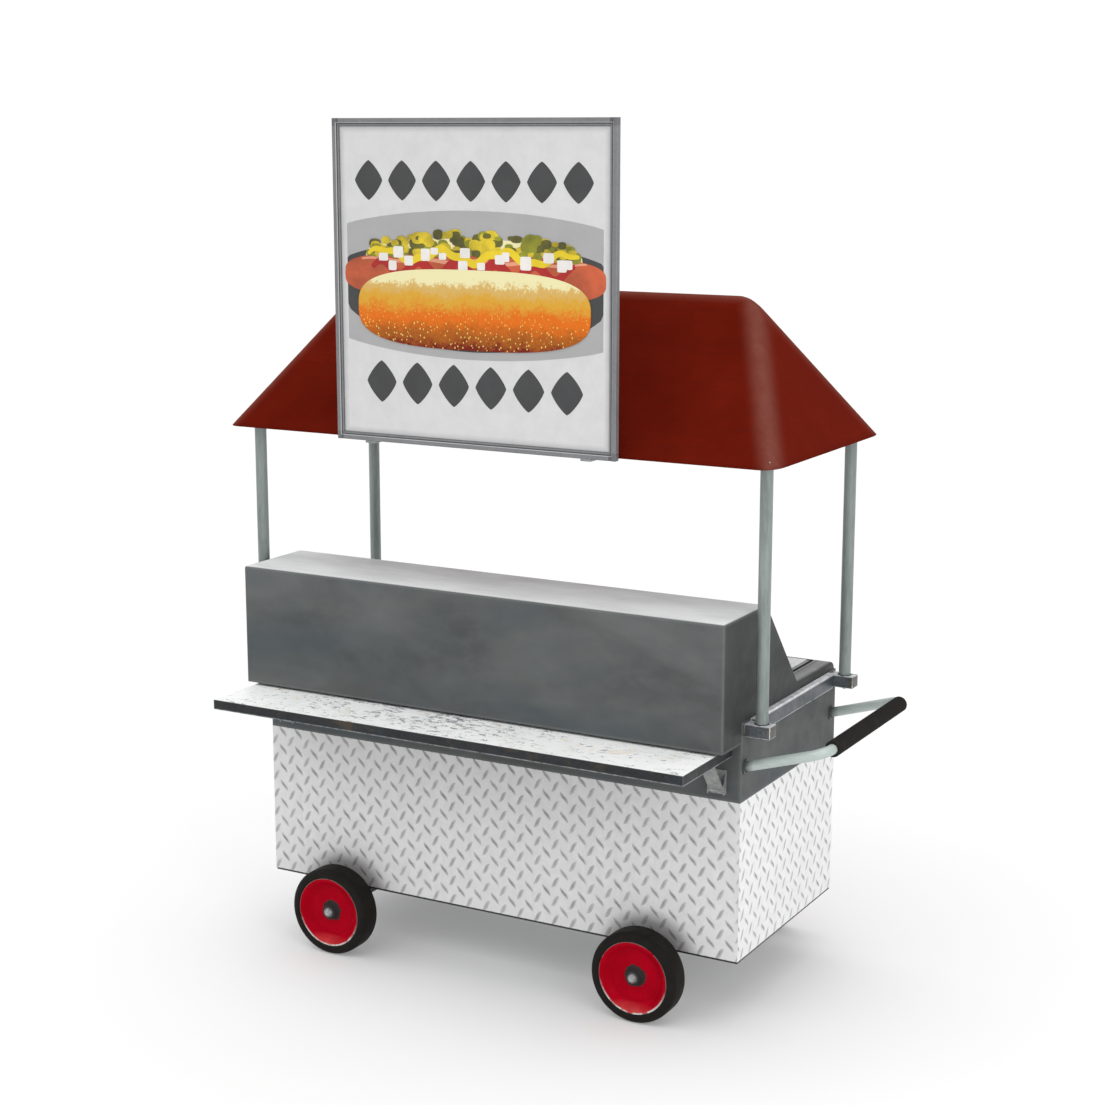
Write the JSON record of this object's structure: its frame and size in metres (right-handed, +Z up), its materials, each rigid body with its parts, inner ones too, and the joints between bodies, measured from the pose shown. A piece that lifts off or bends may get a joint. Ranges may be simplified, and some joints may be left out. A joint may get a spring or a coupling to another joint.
{
  "type": "push vending cart",
  "caption": "Push cart for street food: tread-plate cabinet on wheels, fold-down shelf, housing, warming pans, push bar, hipped canopy on posts and a square sign.",
  "frame": {"origin": "on the floor, under the middle of the whole cart's box", "axes": "+X along the cart towards the push handle, +Y from the customers' side to the operator's side, +Z up"},
  "size_m": [2.21, 1.2676, 2.8445],
  "materials": {
    "tyre_rubber": "satin black rubber, scuffed",
    "rim_red": "glossy red enamel, chipped at the edge",
    "axle_steel": "dull zinc-plated steel",
    "chassis_paint": "dark painted steel",
    "galvanised": "galvanised tube with pale streaks",
    "tread_plate": "white raised tread plate",
    "grey_steel": "weathered dark grey steel",
    "bright_steel": "bright worn steel",
    "shelf_white": "scratched white paint over steel",
    "canopy_fabric": "brick red woven canvas",
    "sign_alu": "satin aluminium profile",
    "sign_board": "off-white board",
    "grip_foam": "black foam",
    "knob_plastic": "black moulded plastic",
    "burner_brass": "dull brass and blackened steel"
  },
  "bodies": {
    "cart": {"axle_caps": "axle_steel", "axle_hangers": "chassis_paint", "axle_spacers": "axle_steel", "axles": "axle_steel", "band_front": "grey_steel", "band_left_end": "grey_steel", "band_rear": "grey_steel", "band_right_end": "grey_steel", "cabinet_uprights": "chassis_paint", "canopy": "canopy_fabric", "chassis_frame": "chassis_paint", "counter_top": "grey_steel", "door_hinges": "axle_steel", "end_rails": "bright_steel", "floor_pan": "galvanised", "food_pans": "bright_steel", "gas_burner": "burner_brass", "handle_grip": "grip_foam", "handle_tube": "galvanised", "housing_flap_rod": "axle_steel", "housing_shelf": "grey_steel", "housing_shell": "grey_steel", "pan_lid_rod": "axle_steel", "post_bolts": "axle_steel", "post_brackets": "bright_steel", "roof_connectors": "galvanised", "roof_posts": "galvanised", "roof_top_frame": "galvanised", "roof_tubes": "galvanised", "shelf_hinges": "axle_steel", "shelf_prop_brackets": "bright_steel", "sign_frame": "sign_alu", "sign_panel": "sign_board", "sign_stays": "sign_alu", "sign_straps": "sign_alu", "tread_panel_front": "tread_plate", "tread_panel_left_end": "tread_plate", "tread_panel_right_end": "tread_plate", "tread_sill_rear": "tread_plate", "water_tank": "bright_steel"},
    "shelf": {"shelf_panel": "shelf_white"},
    "prop_left": {"shelf_prop_left": "bright_steel"},
    "prop_right": {"shelf_prop_right": "bright_steel"},
    "door_left": {"door_left": "tread_plate"},
    "door_right": {"door_right": "tread_plate"},
    "flap_left": {"housing_flap_left": "grey_steel"},
    "flap_right": {"housing_flap_right": "grey_steel"},
    "lid_left": {"pan_lid_left": "bright_steel"},
    "lid_middle": {"pan_lid_middle": "bright_steel"},
    "lid_right": {"pan_lid_right": "bright_steel"},
    "knob_left": {"burner_knob_left": "knob_plastic"},
    "knob_right": {"burner_knob_right": "knob_plastic"},
    "wheel_front_left": {"tyre_front_left": "tyre_rubber", "rim_front_left": "rim_red"},
    "wheel_front_right": {"tyre_front_right": "tyre_rubber", "rim_front_right": "rim_red"},
    "wheel_rear_left": {"tyre_rear_left": "tyre_rubber", "rim_rear_left": "rim_red"},
    "wheel_rear_right": {"tyre_rear_right": "tyre_rubber", "rim_rear_right": "rim_red"}
  },
  "joints": [
    {"name": "spin_front_left", "type": "hinge", "parent": "cart", "child": "wheel_front_left", "pos_m": [-0.676, -0.35825, 0.1525], "axis": [0, 1, 0], "continuous": true},
    {"name": "spin_front_right", "type": "hinge", "parent": "cart", "child": "wheel_front_right", "pos_m": [0.504, -0.35825, 0.1525], "axis": [0, 1, 0], "continuous": true},
    {"name": "spin_rear_left", "type": "hinge", "parent": "cart", "child": "wheel_rear_left", "pos_m": [-0.676, 0.58375, 0.1525], "axis": [0, 1, 0], "continuous": true},
    {"name": "spin_rear_right", "type": "hinge", "parent": "cart", "child": "wheel_rear_right", "pos_m": [0.504, 0.58375, 0.1525], "axis": [0, 1, 0], "continuous": true},
    {"name": "shelf_fold", "type": "hinge", "parent": "cart", "child": "shelf", "pos_m": [-0.086, -0.28355, 0.9055], "axis": [1, 0, 0], "range_deg": [0, 90]},
    {"name": "prop_fold_left", "type": "hinge", "parent": "cart", "child": "prop_left", "pos_m": [-0.91, -0.28875, 0.7875], "axis": [1, 0, 0], "range_deg": [0, 143.3]},
    {"name": "prop_fold_right", "type": "hinge", "parent": "cart", "child": "prop_right", "pos_m": [0.738, -0.28875, 0.7875], "axis": [1, 0, 0], "range_deg": [0, 143.3]},
    {"name": "door_left_swing", "type": "hinge", "parent": "cart", "child": "door_left", "pos_m": [-0.982, 0.50665, 0.5375], "axis": [0, 0, 1], "range_deg": [0, 110]},
    {"name": "door_right_swing", "type": "hinge", "parent": "cart", "child": "door_right", "pos_m": [0.81, 0.50665, 0.5375], "axis": [0, 0, -1], "range_deg": [0, 110]},
    {"name": "flap_left_lift", "type": "hinge", "parent": "cart", "child": "flap_left", "pos_m": [-0.533, -0.09788, 1.33353], "axis": [1, 0, 0], "range_deg": [0, 100]},
    {"name": "flap_right_lift", "type": "hinge", "parent": "cart", "child": "flap_right", "pos_m": [0.361, -0.09788, 1.33353], "axis": [1, 0, 0], "range_deg": [0, 100]},
    {"name": "lid_left_lift", "type": "hinge", "parent": "cart", "child": "lid_left", "pos_m": [-0.0845, 0.17775, 1.046], "axis": [1, 0, 0], "range_deg": [0, 100]},
    {"name": "lid_middle_lift", "type": "hinge", "parent": "cart", "child": "lid_middle", "pos_m": [0.2415, 0.17775, 1.046], "axis": [1, 0, 0], "range_deg": [0, 100]},
    {"name": "lid_right_lift", "type": "hinge", "parent": "cart", "child": "lid_right", "pos_m": [0.5675, 0.17775, 1.046], "axis": [1, 0, 0], "range_deg": [0, 100]},
    {"name": "knob_left_turn", "type": "hinge", "parent": "cart", "child": "knob_left", "pos_m": [0.004, 0.51275, 0.8], "axis": [0, 1, 0], "range_deg": [0, 150]},
    {"name": "knob_right_turn", "type": "hinge", "parent": "cart", "child": "knob_right", "pos_m": [0.474, 0.51275, 0.8], "axis": [0, 1, 0], "range_deg": [0, 150]}
  ],
  "couplings": [
    {"joint": "prop_fold_left", "follows": "shelf_fold", "ratio": 1.5903},
    {"joint": "prop_fold_right", "follows": "shelf_fold", "ratio": 1.5903}
  ]
}
